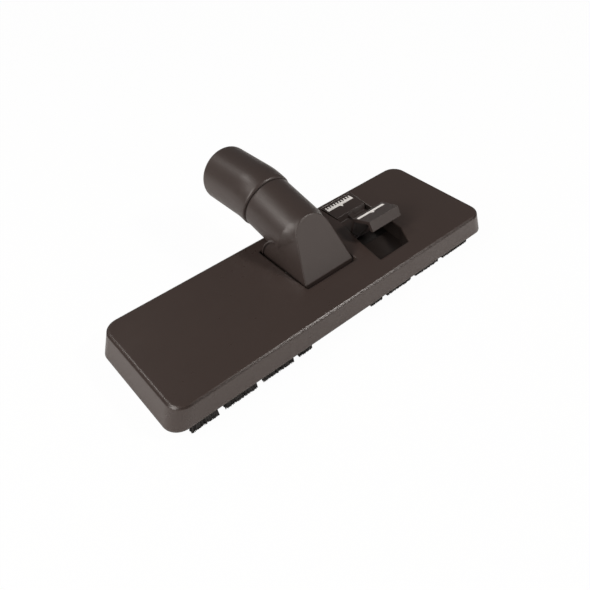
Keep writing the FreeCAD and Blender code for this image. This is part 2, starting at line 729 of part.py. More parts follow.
def make_pedal():
    pedal = Body("pedal")
    web = S.web_thickness
    lip = S.pad_thickness
    valley_rear = S.rear_pad_front - S.valley_rise
    pedal.profile(
        [
            (S.pad_front, S.pad_front_bottom),
            (S.pad_edge, S.pad_edge_height),
            (S.pad_back, S.pad_back_height),
            (S.web_foot, S.valley_height),
            (valley_rear, S.valley_height),
            (S.rear_pad_front, S.rear_pad_height),
            (rear_pad_back, S.rear_pad_height),
            (rear_pad_back, S.rear_pad_height - lip),
            (S.rear_pad_front + web, S.rear_pad_height - lip),
            (valley_rear + web, S.valley_height - lip),
            (S.web_foot - web, S.valley_height - lip),
            (S.pad_back - web, S.pad_back_height - lip + 0.3),
            (S.pad_edge + 1.2, S.pad_edge_height - lip - 0.5),
            (S.pad_front + lip, S.pad_front_bottom - 1),
        ],
        (recess_left_knee_x - 2, recess_rear_right + 2),
    )
    pedal.rod(
        S.pedal_y, S.pedal_z, S.hub_radius, (pad_left + 1, recess_right_knee_x - 1)
    )
    reach = S.lift_pin_radius + S.lift_slot_gap + S.lever_wall
    pedal.profile(
        [
            (S.pedal_y, S.pedal_z - S.hub_radius),
            (S.pedal_y + S.hub_radius, S.pedal_z - S.hub_radius),
            (lever_pin_y - reach, lever_pin_z - reach),
            (lever_pin_y + reach, lever_pin_z - reach),
            (lever_pin_y + reach + 1, S.rear_pad_height - lip / 2),
            (S.rear_pad_front, S.rear_pad_height - lip / 2),
            (S.pedal_y, S.valley_height - lip / 2),
        ],
        (lever_x - S.lever_thickness / 2, lever_x + S.lever_thickness / 2),
    )
    for shift in (0, S.lift_slot_travel):
        pedal.cross_hole(
            lever_pin_y - shift,
            lever_pin_z,
            S.lift_pin_radius + S.lift_slot_gap,
            (lever_x - S.lever_thickness, lever_x + S.lever_thickness),
        )
    pedal.cross_hole(
        S.pedal_y,
        S.pedal_z,
        S.pedal_pin_radius + S.running_gap,
        (recess_left_knee_x - 3, recess_rear_right + 3),
    )
    # The two ends follow the slant of the recess walls
    ends = (S.lever_bottom, S.pad_edge_height + 2)
    front = S.pad_front - 3
    rear = recess_rear + 1
    left = recess_left_knee_x - 3
    pedal.cut_prism(
        [
            (left, front),
            (pad_left, front),
            (pad_left, S.web_foot - 1),
            (recess_rear_left + S.pedal_gap, S.recess_waist + 1),
            (recess_rear_left + S.pedal_gap, rear),
            (left, rear),
        ],
        ends,
    )
    right = recess_rear_right + 3
    pedal.cut_prism(
        [
            (right, rear),
            (recess_rear_right - S.pedal_gap, rear),
            (recess_right_knee_x - S.pedal_gap, front),
            (right, front),
        ],
        ends,
    )


# Neck: a tube that runs into flat cheeks, cut off in front by a sloping arched shield

RIGHT = Vector(1, 0, 0)


def tilted(angle):
    """A unit vector in the plane of Y and Z, at an angle above +Y."""
    return Vector(0, math.cos(math.radians(angle)), math.sin(math.radians(angle)))


ALONG_TUBE = tilted(S.tube_rise.number)
ACROSS_TUBE = tilted(S.tube_rise.number + 90)
UP_SHIELD = tilted(S.shield_slope.number)
OUT_OF_SHIELD = tilted(S.shield_slope.number + 90)
tube_start = Vector(neck_x.number, 0, S.tube_height.number)


def on_tube(distance):
    return tube_start + ALONG_TUBE * distance


def arch_wire(origin, up, foot, spring, top):
    """A closed arch of two legs and two arcs: foot and spring are (half width, height).

    The arcs belong to one circle about the middle line, and meet at the top."""
    spring_half, spring_height = spring
    rise = top - spring_height
    radius = (spring_half ** 2 + rise ** 2) / (2 * rise)
    centre = top - radius
    middle_turn = (math.atan2(spring_height - centre, spring_half) + math.pi / 2) / 2
    on_arc = (radius * math.cos(middle_turn), centre + radius * math.sin(middle_turn))

    def at(x, height):
        return origin + RIGHT * x + up * height

    def line(*ends):
        return Part.LineSegment(*ends).toShape()

    return Part.Wire([
        line(at(-foot[0], foot[1]), at(foot[0], foot[1])),
        line(at(*foot), at(*spring)),
        Part.Arc(at(*spring), at(*on_arc), at(0, top)).toShape(),
        Part.Arc(at(0, top), at(-on_arc[0], on_arc[1]), at(-spring[0], spring[1])).toShape(),
        line(at(-spring[0], spring[1]), at(-foot[0], foot[1])),
    ])


def shield_wire(shrink, drop):
    """The outline of the sloping shield: legs that lean in and an arc that they touch."""
    lean = math.radians(S.shield_lean.number)
    half = S.shield_half_width.number - shrink
    length = S.shield_length.number - shrink
    radius = (half - length * math.tan(lean)) / (
        math.cos(lean) - (1 - math.sin(lean)) * math.tan(lean)
    )
    spring = (radius * math.cos(lean), length - radius + radius * math.sin(lean))
    foot = (half + drop * math.tan(lean), -drop)
    origin = Vector(neck_x.number, S.shield_foot.number, S.shield_foot_height.number)
    return arch_wire(origin - OUT_OF_SHIELD * shrink, UP_SHIELD, foot, spring, length)


def throat_wire(shrink, drop):
    """The arch where the hood meets the tube: the tube's round top on two straight cheeks."""
    middle = on_tube(S.hood_length.number)
    radius = S.tube_radius.number - shrink
    cheek = S.cheek_half_width.number - shrink
    meeting = -math.sqrt(radius ** 2 - cheek ** 2)
    leg = (middle.z - S.shield_foot_height.number) / ACROSS_TUBE.z + drop
    return arch_wire(middle, ACROSS_TUBE, (cheek, -leg), (cheek, meeting), radius)


def tube(radius, start, end):
    return Part.makeCylinder(radius, end - start, on_tube(start), ALONG_TUBE)


def cheek_disc(radius):
    """A wide disc about the pivot, which gives the cheeks their round rear edge."""
    reach = 4 * S.rim_radius.number
    middle = Vector(-reach, S.pivot_y.number, S.pivot_z.number)
    return Part.makeCylinder(radius, 2 * reach, middle, RIGHT)


def above_pocket(depth):
    """All the space over the neck's foot, or a little lower."""
    size = 8 * S.rim_radius.number
    space = Part.makeBox(size, size, size)
    space.translate(Vector(-size / 2, -size / 2, S.shield_foot_height.number - depth))
    return space


def hood(shrink, drop):
    """The neck's front, lofted from the shield's outline to the tube and the cheeks."""
    return Part.makeLoft([shield_wire(shrink, drop), throat_wire(shrink, drop)], True, True)


def under_tube(half_width):
    """The space behind the hood and below the tube's middle line."""
    reach = 2 * S.rim_radius.number
    space = Part.makeBox(2 * half_width, reach, reach)
    space.translate(Vector(-half_width, 0, -reach))
    space.rotate(Vector(), RIGHT, S.tube_rise.number)
    space.translate(on_tube(S.hood_length.number))
    return space


def cheeks(shrink):
    """The block behind the hood that carries the tube down into the pocket."""
    block = under_tube(S.cheek_half_width.number - shrink)
    return block.common(cheek_disc(S.rim_radius.number - shrink))


def make_rim():
    """The thin raised rim along the rear edge of both cheeks."""
    outer = S.rim_radius.number
    band = cheek_disc(outer).cut(cheek_disc(outer - S.rim_width.number))
    return band.common(under_tube(S.cheek_half_width.number + S.rim_proud.number))


def make_neck():
    wall = S.neck_wall.number
    seam = S.seam_place.number
    hood_end = S.hood_length.number
    tube_end = seam + S.spigot_length.number
    rear = cheeks(0).fuse([tube(S.tube_radius.number, hood_end, seam), make_rim()])
    rear = rear.common(above_pocket(0))
    spigot = tube(S.spigot_radius.number, seam - wall, tube_end)
    shape = hood(0, 0).fuse([rear, spigot])
    for hollow in (
        hood(wall, wall),
        cheeks(wall),
        tube(S.tube_bore.number, hood_end - wall, tube_end + wall),
    ):
        shape = shape.cut(hollow)

    # The walls run on straight down into the pocket
    foot = S.shield_foot_height.number
    for face in shape.Faces:
        if all(abs(corner.Point.z - foot) < 0.01 for corner in face.Vertexes):
            shape = shape.fuse(face.extrude(Vector(0, 0, -S.neck_skirt.number)))

    # Lobes under the cheeks that turn on the pivot pins
    lobe_width = S.cheek_half_width.number - S.cheek_inner.number
    rise = S.shield_foot_height.number + wall - S.pivot_z.number
    for left in (-S.cheek_half_width.number, S.cheek_inner.number):
        middle = Vector(neck_x.number + left, S.pivot_y.number, S.pivot_z.number)
        radius = S.lobe_radius.number
        lobe = Part.makeCylinder(radius, lobe_width, middle, RIGHT)
        web = Part.makeBox(lobe_width, 2 * radius, rise, middle - Vector(0, radius, 0))
        shape = shape.fuse(lobe.fuse(web))
    bore = S.pivot_pin_radius.number + S.running_gap.number
    start = Vector(pocket_left.number, S.pivot_y.number, S.pivot_z.number)
    shape = shape.cut(Part.makeCylinder(bore, 2 * S.pocket_half_width.number, start, RIGHT))

    # Groove for the snap ring
    ring = seam + S.ring_place.number
    groove = tube(S.spigot_radius.number + 1, ring, ring + S.ring_width.number)
    groove = groove.cut(
        tube(S.spigot_radius.number - S.ring_depth.number, ring - 1, ring + S.ring_width.number + 1)
    )
    solid_piece("neck", shape.cut(groove))


def solid_piece(label, shape):
    """A sub-part whose shape is worked out here, placed like the others."""
    feature = doc.addObject("Part::Feature", label)
    feature.Shape = shape
    feature.Placement = Placement(Vector(0, S.head_middle.number, 0), Rotation())
    named(feature, label)


# Swivel: a split ring in the spigot's groove, a seal in the seam, and the bent collar

def make_swivel():
    seam = S.seam_place.number
    ring_start = seam + S.ring_place.number + 0.1
    ring_end = ring_start + S.ring_width.number - 0.2
    inside = S.spigot_radius.number - S.ring_depth.number
    outside = S.spigot_radius.number + S.ring_depth.number
    ring = tube(outside, ring_start, ring_end).cut(tube(inside, ring_start - 1, ring_end + 1))
    split = Part.makeBox(S.ring_split.number, 2 * outside, 2 * outside)
    split.translate(on_tube(ring_start) - Vector(S.ring_split.number / 2, outside, 2 * outside))
    solid_piece("snap_ring", ring.cut(split))
    seal = tube(S.seal_radius.number, seam, seam + S.seal_thickness.number)
    seal = seal.cut(tube(S.spigot_radius.number, seam - 1, seam + 1))
    solid_piece("swivel_seal", seal)


def bent_bar(radius, start, lead, tail):
    """A round bar that leads off along the tube, bends down and runs straight on."""
    disc = Part.Face(Part.Wire(Part.makeCircle(radius, on_tube(start), ALONG_TUBE)))
    first = disc.extrude(ALONG_TUBE * lead)
    disc.translate(ALONG_TUBE * lead)
    angle = S.bend_angle.number
    pivot = on_tube(start + lead) - ACROSS_TUBE * S.bend_radius.number
    bend = disc.revolve(pivot, RIGHT, -angle)
    disc.rotate(pivot, RIGHT, -angle)
    out = tilted(S.tube_rise.number - angle)
    last = disc.extrude(out * tail)
    return first, bend, last


def collar_mouth():
    """The middle of the collar's mouth, and the way out of it."""
    start = S.seam_place.number + S.seam_gap.number + S.collar_lead.number
    angle = S.bend_angle.number
    pivot = on_tube(start) - ACROSS_TUBE * S.bend_radius.number
    out = tilted(S.tube_rise.number - angle)
    up = tilted(S.tube_rise.number - angle + 90)
    return pivot + up * S.bend_radius.number + out * S.collar_length.number, out


def make_collar():
    start = S.seam_place.number + S.seam_gap.number
    lead = S.collar_lead.number
    mouth, out = collar_mouth()
    first, bend, last = bent_bar(S.collar_radius.number, start, lead, S.collar_length.number)
    shape = first.fuse([bend, last]).removeSplitter()
    ends = [
        edge for edge in shape.Edges
        if edge.Curve.TypeId == "Part::GeomCircle"
        and (edge.CenterOfMass.distanceToPoint(on_tube(start)) < 0.1
             or edge.CenterOfMass.distanceToPoint(mouth) < 0.1)
    ]
    shape = shape.makeFillet(S.collar_round.number, ends)
    first, bend, last = bent_bar(S.tube_bore.number, start, lead, S.collar_length.number)
    passage = first.fuse([bend, last])
    spigot_room = tube(
        S.spigot_radius.number + S.swivel_gap.number,
        start - 1,
        S.seam_place.number + S.spigot_length.number + 1,
    )
    ring = S.seam_place.number + S.ring_place.number
    ring_room = tube(
        S.spigot_radius.number + S.ring_depth.number + S.swivel_gap.number,
        ring - S.swivel_gap.number,
        ring + S.ring_width.number + S.swivel_gap.number,
    )
    socket = Part.makeCylinder(
        S.socket_radius.number, S.socket_length.number + 1, mouth + out, -out
    )
    chamfer = S.mouth_chamfer.number
    flare = Part.makeCone(
        S.socket_radius.number + chamfer, S.socket_radius.number, chamfer, mouth, -out
    )
    shape = shape.cut(passage.fuse([spigot_room, ring_room, socket, flare]))
    solid_piece("collar", shape)
    print("collar mouth", mouth + Vector(0, S.head_middle.number, 0), "way out", out)


make_top_cover()
make_sole_plate()
make_thread_lifters()
make_suction_duct()
make_neck_seal()
make_pins()
make_rollers()
make_screws()
make_bristles()
make_brush_carrier()
make_pedal()
make_neck()
make_swivel()
make_collar()


def write_parts():
    """Check every object and each sub-part's solid, then write one file per sub-part."""
    doc.recompute()
    for thing in doc.Objects:
        bad = [state for state in thing.State if state in ("Invalid", "Error")]
        if bad:
            raise RuntimeError("{} is {}".format(thing.Name, bad))
    os.makedirs("parts", exist_ok=True)
    box = FreeCAD.BoundBox()
    for piece in pieces:
        shape = piece.Shape
        if shape.isNull() or not shape.isValid() or not shape.Solids:
            raise RuntimeError("{} has no valid solid".format(piece.Label))
        shape.exportStep("parts/{}.step".format(piece.Label))
        box.add(shape.BoundBox)
        print("{:22s} solids {:2d} volume {:9.1f} mm3".format(
            piece.Label, len(shape.Solids), shape.Volume))
    print("box x {:.2f} {:.2f} y {:.2f} {:.2f} z {:.2f} {:.2f}".format(
        box.XMin, box.XMax, box.YMin, box.YMax, box.ZMin, box.ZMax))


write_parts()
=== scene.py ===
# %% [markdown]
# # A vacuum floor tool
#
# The solids of the floor tool come ready made, each at its true place and size. This script
# dresses them: it gives every moulding, pin and seal a finish, swaps the plain blocks of
# bristle for real hairs, prints the signs on the pedal, and sets up the camera and the light.
# All lengths are in metres.

# %% Load the solids
import math

import bpy
from mathutils import Matrix, Vector


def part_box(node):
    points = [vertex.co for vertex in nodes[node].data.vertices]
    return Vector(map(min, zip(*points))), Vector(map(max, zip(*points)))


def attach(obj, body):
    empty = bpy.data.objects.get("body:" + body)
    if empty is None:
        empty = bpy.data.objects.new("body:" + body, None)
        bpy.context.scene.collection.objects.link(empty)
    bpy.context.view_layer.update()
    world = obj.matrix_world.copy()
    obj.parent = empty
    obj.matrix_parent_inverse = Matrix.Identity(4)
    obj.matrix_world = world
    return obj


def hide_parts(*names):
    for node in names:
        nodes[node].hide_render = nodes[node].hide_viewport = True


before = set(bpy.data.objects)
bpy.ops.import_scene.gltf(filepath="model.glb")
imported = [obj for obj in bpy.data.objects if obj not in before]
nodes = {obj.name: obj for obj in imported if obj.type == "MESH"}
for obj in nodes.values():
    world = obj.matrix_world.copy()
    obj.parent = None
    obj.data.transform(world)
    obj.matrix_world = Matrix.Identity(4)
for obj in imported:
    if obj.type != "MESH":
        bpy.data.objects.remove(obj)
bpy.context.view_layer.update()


MM = 0.001
cover_low, cover_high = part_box("top_cover")
head_middle = (cover_low.y + cover_high.y) / 2
print("middle of the head at y =", round(head_middle, 5))


# %% [markdown]
# ## Camera
#
# The camera stands above the left front corner of the head and looks down at it, a little
# tilted. A lens about as long as the frame is wide gives the same calm perspective as the
# picture that the model follows. A camera looks along its own -Z, so its three axes, right,
# up and back, are the columns of its rotation.

# %% Place the camera
TURN = math.radians(-37.5)
RISE = math.radians(43.9)
ROLL = math.radians(-3.92)
CAMERA_PLACE = Vector((-0.19642, head_middle - 0.23970, 0.29595))
FOCAL_LENGTH = 36.48
FRAME_WIDTH = 36
SHIFT = 0.0006

back = Vector((
    math.sin(TURN) * math.cos(RISE),
    -math.cos(TURN) * math.cos(RISE),
    math.sin(RISE),
))
level = Vector((math.cos(TURN), math.sin(TURN), 0))
upright = back.cross(level)
right = level * math.cos(ROLL) + upright * math.sin(ROLL)
up = upright * math.cos(ROLL) - level * math.sin(ROLL)

lens = bpy.data.cameras.new("camera")
lens.sensor_width = FRAME_WIDTH
lens.lens = FOCAL_LENGTH
lens.shift_x = SHIFT
lens.shift_y = -SHIFT
camera = bpy.data.objects.new("camera", lens)
bpy.context.scene.collection.objects.link(camera)
camera.matrix_world = Matrix.Translation(CAMERA_PLACE) @ Matrix(
    (right, up, back)
).transposed().to_4x4()
bpy.context.scene.camera = camera
print("camera at", [round(v, 3) for v in CAMERA_PLACE])


# %% [markdown]
# ## Shader sums in plain Python
#
# A finish is a small sum over the surface: some noise, a mask, a mix. Wiring such sums by
# hand is slow to read, so a class wraps a socket, and `a * b + c` adds the Math nodes. One
# method, `node`, makes any other node from its type, its settings and its inputs.

# %% A socket that can be added and multiplied
class Wire:
    """An output socket inside one material's node tree."""

    def __init__(self, finish, source):
        self.finish = finish
        self.source = source

    def _sum(self, operation, first, second):
        return self.finish.node(
            "ShaderNodeMath", {"operation": operation}, {0: first, 1: second}
        )

    def __add__(self, other):
        return self._sum("ADD", self, other)

    def __rsub__(self, other):
        return self._sum("SUBTRACT", other, self)

    def __mul__(self, other):
        return self._sum("MULTIPLY", self, other)


class Finish:
    """A material with a Principled shader, and short ways to feed it."""

    def __init__(self, name):
        self.material = bpy.data.materials.new(name)
        self.material.use_nodes = True
        self.tree = self.material.node_tree
        self.shader = self.tree.nodes["Principled BSDF"]

    def node(self, kind, settings=None, inputs=None, output=0):
        made = self.tree.nodes.new(kind)
        for setting, value in (settings or {}).items():
            setattr(made, setting, value)
        for socket, value in (inputs or {}).items():
            self.feed(made.inputs[socket], value)
        return Wire(self, made.outputs[output])

    def feed(self, socket, value):
        if isinstance(value, Wire):
            self.tree.links.new(value.source, socket)
        elif isinstance(value, tuple) and len(value) == 3 and socket.type == "RGBA":
            socket.default_value = (*value, 1)
        else:
            socket.default_value = value

    def set(self, **inputs):
        """Feed the shader's sockets: Base_Color=... stands for the socket Base Color."""
        for socket, value in inputs.items():
            self.feed(self.shader.inputs[socket.replace("_", " ")], value)

    def place(self, scale=(1, 1, 1)):
        """Where a point of the piece is, in metres, stretched by a scale along each axis."""
        point = self.node("ShaderNodeTexCoord", output="Object")
        return self.node("ShaderNodeMapping", {}, {"Vector": point, "Scale": scale})

    def noise(self, size, detail, roughness, stretch=(1, 1, 1)):
        """Cloudy noise from 0 to 1, with clouds of about the given size in metres."""
        return self.node(
            "ShaderNodeTexNoise",
            {},
            {
                "Vector": self.place(stretch),
                "Scale": 1 / size,
                "Detail": detail,
                "Roughness": roughness,
            },
        )

    def spread(self, value, low, high):
        """A wire from 0 to 1, turned into low to high."""
        return value * (high - low) + low

    def mix(self, factor, first, second):
        """A blend of two colours, or of two normals."""
        return self.node(
            "ShaderNodeMix",
            {"data_type": "RGBA"},
            {"Factor": factor, 6: first, 7: second},
            output=2,
        )

    def over(self, value, limit):
        """A wire that is 1 where a value lies over a limit, and 0 elsewhere."""
        return self.node("ShaderNodeMath", {"operation": "GREATER_THAN"}, {0: value, 1: limit})

    def inside(self, low, high):
        """A wire that is 1 inside a box and 0 outside it."""
        point = self.node("ShaderNodeTexCoord", output="Object")
        mask = 1.0
        for axis in range(3):
            along = self.node("ShaderNodeSeparateXYZ", {}, {"Vector": point}, output=axis)
            mask = self.over(along, low[axis]) * self.over(high[axis] - along, 0.0) * mask
        return mask

    def soft_edges(self, radius):
        """Normals that turn smoothly round every edge, as if it had a small radius."""
        return self.node("ShaderNodeBevel", {"samples": 16}, {"Radius": radius})

    def bump(self, height, strength, distance, under=None):
        """Fine relief, laid over the plain surface or over other normals."""
        inputs = {"Height": height, "Strength": strength, "Distance": distance}
        if under:
            inputs["Normal"] = under
        return self.node("ShaderNodeBump", {}, inputs)


# %% [markdown]
# ## Moulded plastic
#
# The whole tool is black plastic with a warm brown cast. A mould is spark eroded, so the
# skin carries a fine even grain, and only the worn high places shine a little. Three sizes
# of noise give that: a very fine one for the grain, a middle one that breaks up the gloss,
# and a broad faint one for the clouds that handling leaves. The edges are softened in the
# normals alone, which draws the thin bright lines along them. The pedal's recess has crisper
# edges than the rest of the cover, and its colour is painted darker: painted shade for the
# shadow that falls inside it.

# %% The plastics
CLOUD_SIZE = 45 * MM
PATCH_SIZE = 6 * MM
GLOSS_CHANGE = 0.06
HOLLOW_EDGE = 0.6 * MM
# Painted shade: the darker colour painted inside the pedal's recess.
HOLLOW_PAINTED_SHADE = (0.022, 0.0170, 0.0150)


def moulded_plastic(name, dark, light, gloss, grain_size, grain_depth, edge, hollow=None):
    finish = Finish(name)
    clouds = finish.noise(CLOUD_SIZE, 3, 0.55)
    grain = finish.noise(grain_size, 2, 0.6)
    patches = finish.noise(PATCH_SIZE, 4, 0.6)
    colour = finish.mix(clouds * 0.6 + grain * 0.4, dark, light)
    skin = finish.soft_edges(edge)
    if hollow:
        in_hollow = finish.inside(*hollow)
        skin = finish.mix(in_hollow, skin, finish.soft_edges(HOLLOW_EDGE))
        # Painted shade: inside the recess the colour is swapped for a darker one.
        colour = finish.mix(in_hollow, colour, HOLLOW_PAINTED_SHADE)
    finish.set(
        Base_Color=colour,
        Roughness=finish.spread(
            patches * 0.6 + clouds * 0.4, gloss - GLOSS_CHANGE, gloss + GLOSS_CHANGE
        ),
        Normal=finish.bump(grain, 0.45, grain_depth, skin),
    )
    return finish.material


cover_plastic = moulded_plastic(
    "cover_plastic",
    dark=(0.035, 0.0246, 0.0212),
    light=(0.047, 0.0334, 0.0290),
    gloss=0.29,
    grain_size=0.6 * MM,
    grain_depth=0.05 * MM,
    edge=2.1 * MM,
    # The box of the pedal's recess, which gets crisper edges and painted shade.
    hollow=(
        (39 * MM, head_middle - 32 * MM, 10 * MM),
        (82 * MM, head_middle + 42 * MM, 25 * MM),
    ),
)
neck_plastic = moulded_plastic(
    "neck_plastic",
    dark=(0.033, 0.0240, 0.0212),
    light=(0.047, 0.0344, 0.0306),
    gloss=0.38,
    grain_size=0.7 * MM,
    grain_depth=0.08 * MM,
    edge=1.4 * MM,
)
pedal_plastic = moulded_plastic(
    "pedal_plastic",
    dark=(0.028, 0.0203, 0.0180),
    light=(0.040, 0.0292, 0.0260),
    gloss=0.36,
    grain_size=0.5 * MM,
    grain_depth=0.03 * MM,
    edge=0.6 * MM,
)
inner_plastic = moulded_plastic(
    "inner_plastic",
    dark=(0.012, 0.0105, 0.0100),
    light=(0.018, 0.0160, 0.0150),
    gloss=0.38,
    grain_size=0.7 * MM,
    grain_depth=0.03 * MM,
    edge=0.4 * MM,
)
roller_plastic = moulded_plastic(
    "roller_plastic",
    dark=(0.050, 0.049, 0.048),
    light=(0.075, 0.073, 0.071),
    gloss=0.40,
    grain_size=0.9 * MM,
    grain_depth=0.05 * MM,
    edge=0.4 * MM,
)
print("plastics:", [m.name for m in bpy.data.materials if m.name.endswith("plastic")])


# %% [markdown]
# ## Rubber and steel
#
# The seals are soft rubber: almost black, dull, with a faint bloom. The pins, axles, screws
# and the snap ring are drawn steel. Drawing leaves fine lines along the wire, which is a
# noise stretched far along X, where all the pins lie.

# %% Seals and metal
def soft_rubber(name):
    finish = Finish(name)
    bloom = finish.noise(4 * MM, 3, 0.6)
    finish.set(
        Base_Color=finish.mix(bloom, (0.010, 0.010, 0.010), (0.022, 0.021, 0.020)),
        Roughness=finish.spread(bloom, 0.68, 0.82),
        Specular_IOR_Level=0.35,
        Normal=finish.bump(bloom, 0.3, 0.06 * MM),
    )
    return finish.material


def drawn_steel(name):
    finish = Finish(name)
    lines = finish.noise(0.4 * MM, 2, 0.5, stretch=(0.04, 1, 1))
    haze = finish.noise(5 * MM, 3, 0.5)
    finish.set(
        Base_Color=finish.mix(haze, (0.46, 0.46, 0.45), (0.60, 0.60, 0.59)),
        Metallic=1.0,
        Roughness=finish.spread(lines * 0.6 + haze * 0.4, 0.24, 0.42),
        Normal=finish.bump(lines, 0.25, 0.02 * MM),
    )
    return finish.material


seal_rubber = soft_rubber("seal_rubber")
pin_steel = drawn_steel("pin_steel")


# %% Dress the solids that keep their shape
def dress(node, material):
    piece = nodes[node]
    piece.data.materials.clear()
    piece.data.materials.append(material)
    for face in piece.data.polygons:
        face.material_index = 0


DRESSED = {
    "top_cover": cover_plastic,
    "neck": neck_plastic,
    "collar": neck_plastic,
    "pedal": pedal_plastic,
    "sole_plate": inner_plastic,
    "suction_duct": inner_plastic,
    "brush_carrier": inner_plastic,
    "left_roller": roller_plastic,
    "right_roller": roller_plastic,
    "neck_seal": seal_rubber,
    "swivel_seal": seal_rubber,
    "left_pivot_pin": pin_steel,
    "right_pivot_pin": pin_steel,
    "pedal_pin": pin_steel,
    "lift_pin": pin_steel,
    "left_roller_axle": pin_steel,
    "right_roller_axle": pin_steel,
    "cover_screws": pin_steel,
    "snap_ring": pin_steel,
}
for node, material in DRESSED.items():
    dress(node, material)
print("dressed", len(DRESSED), "solids")


# %% [markdown]
# ## Helpers for modelling by operator
#
# An operator works on whatever is selected, so every piece starts by letting everything go.
# A primitive comes selected all over and at its place; `points_where` then picks its corners
# by where they are, as a hand would with a box.

# %% Selecting, joining and finishing a piece
def let_go():
    if bpy.context.object and bpy.context.object.mode != "OBJECT":
        bpy.ops.object.mode_set(mode="OBJECT")
    bpy.ops.object.select_all(action="DESELECT")


def take(piece):
    let_go()
    piece.select_set(True)
    bpy.context.view_layer.objects.active = piece


def points_where(piece, test):
    """Select the corners of a piece that pass a test, and go into edit mode on them."""
    take(piece)
    bpy.ops.object.mode_set(mode="EDIT")
    bpy.ops.mesh.select_mode(type="VERT")
    bpy.ops.mesh.select_all(action="DESELECT")
    bpy.ops.object.mode_set(mode="OBJECT")
    for point in piece.data.vertices:
        point.select = test(point.co)
    bpy.ops.object.mode_set(mode="EDIT")


def join_up(pieces):
    """Make one piece of several, or keep a single one as it is."""
    let_go()
    for piece in pieces:
        piece.select_set(True)
    bpy.context.view_layer.objects.active = pieces[0]
    if len(pieces) > 1:
        bpy.ops.object.join()
    return pieces[0]


def settle(piece, name, material, body):
    """Put a finished piece's place into its mesh, name it, paint it and let it ride."""
    take(piece)
    bpy.ops.object.transform_apply(location=True, rotation=True, scale=True)
    piece.name = name
    piece.data.name = name
    piece.data.materials.clear()
    piece.data.materials.append(material)
    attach(piece, body)
    return piece


# %% [markdown]
# ## Bristles
#
# Round the head's edge hang short runs of black bristle, cut to one length with small gaps
# between the runs. Seen from above only their ragged tips show, so the hairs must be real
# shapes. One hair is a thin three-sided spike. An Array along X and another along Y make a
# run, then the tips alone are shaken by `vertex_random`, which leans each hair its own way.
# Use has bent the front bristles outward, the more the nearer they are to the left end, and
# with them the strip across that end. The run next to that corner is splayed as well.

# %% The bristle finish
def bristle_black(name):
    finish = Finish(name)
    streak = finish.noise(0.8 * MM, 2, 0.6, stretch=(1, 1, 0.1))
    finish.set(
        Base_Color=finish.mix(streak, (0.004, 0.0035, 0.003), (0.016, 0.014, 0.013)),
        Roughness=finish.spread(streak, 0.40, 0.62),
        Specular_IOR_Level=0.4,
    )
    return finish.material


bristle_hair = bristle_black("bristle_hair")


# %% One run of hairs
TIP_SHARE = 0.75


def hair_run(low, high, step, radius, shake, seed, lean=(0.0, 0.0), splay=1.0):
    """Hairs that fill a box, from its top down to tips near its bottom."""
    length = high.z - low.z - shake / 2
    across = [max(1, round((high[i] - low[i] - 2 * radius) / step)) for i in (0, 1)]
    let_go()
    bpy.ops.mesh.primitive_cone_add(
        vertices=3,
        radius1=radius * TIP_SHARE,
        radius2=radius,
        depth=length,
        end_fill_type="NGON",
        location=(low.x + radius, low.y + radius, high.z - length / 2),
    )
    run = bpy.context.object
    for axis, count in enumerate(across):
        pitch = (high[axis] - low[axis] - 2 * radius) / count
        array = run.modifiers.new("row", "ARRAY")
        array.use_relative_offset = False
        array.use_constant_offset = True
        array.constant_offset_displace = [pitch if i == axis else 0 for i in range(3)]
        array.count = count + 1
        take(run)
        bpy.ops.object.modifier_apply(modifier=array.name)
    take(run)
    bpy.ops.object.transform_apply(location=True, rotation=True, scale=True)
    middle = (low.z + high.z) / 2
    points_where(run, lambda place: place.z < middle)
    if any(lean):
        bpy.ops.transform.translate(value=(lean[0], lean[1], 0))
    if splay > 1.0:
        bpy.ops.transform.resize(value=(splay, 1, 1), center_override=(high.x, low.y, low.z))
    bpy.ops.transform.vertex_random(offset=shake / 2, uniform=1.0, seed=seed)
    bpy.ops.object.mode_set(mode="OBJECT")
    return run


def islands(node):
    """The boxes of the separate solids of a node, from left to right."""
    edges = sorted({round(point.co.x, 5) for point in nodes[node].data.vertices})
    low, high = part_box(node)
    return [
        (Vector((left, low.y, low.z)), Vector((right_end, high.y, high.z)))
        for left, right_end in zip(edges[::2], edges[1::2])
    ]


# %% All the bristles
HAIR_STEP = 0.50 * MM
HAIR_RADIUS = 0.36 * MM
HAIR_SHAKE = 0.7 * MM
MOST_LEAN = 3.0 * MM
END_LEAN = 4.4 * MM
CORNER_SPLAY = 1.2
BRISTLES = ("front_bristles", "rear_bristles", "left_end_bristles", "right_end_bristles")
frame_half = (cover_high.x - cover_low.x) / 2


def bristle_strip(node, seed):
    runs = []
    for number, (low, high) in enumerate(islands(node)):
        wear = max(0.0, -(low.x + high.x) / 2) / frame_half
        lean = {
            "front_bristles": (0.0, -MOST_LEAN * wear),
            "left_end_bristles": (-END_LEAN, 0.0),
        }.get(node, (0.0, 0.0))
        splay = CORNER_SPLAY if (node, number) == ("front_bristles", 0) else 1.0
        runs.append(
            hair_run(low, high, HAIR_STEP, HAIR_RADIUS, HAIR_SHAKE, seed + number, lean, splay)
        )
    name = node.replace("bristles", "hairs")
    strip = settle(join_up(runs), name, bristle_hair, "brushes")
    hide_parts(node)
    print(strip.name, len(strip.data.polygons), "faces")


for number, node in enumerate(BRISTLES):
    bristle_strip(node, seed=10 * number + 1)


# %% [markdown]
# ## Thread lifters
#
# Beside the suction slot lie two strips of short red pile that pick up threads. The pile is
# dense and stands only a millimetre or so, so each strip is a bed of short, fine hairs, made
# by the same helper as the bristles.

# %% The pile
PILE_STEP = 0.8 * MM
PILE_RADIUS = 0.42 * MM
PILE_SHAKE = 0.5 * MM


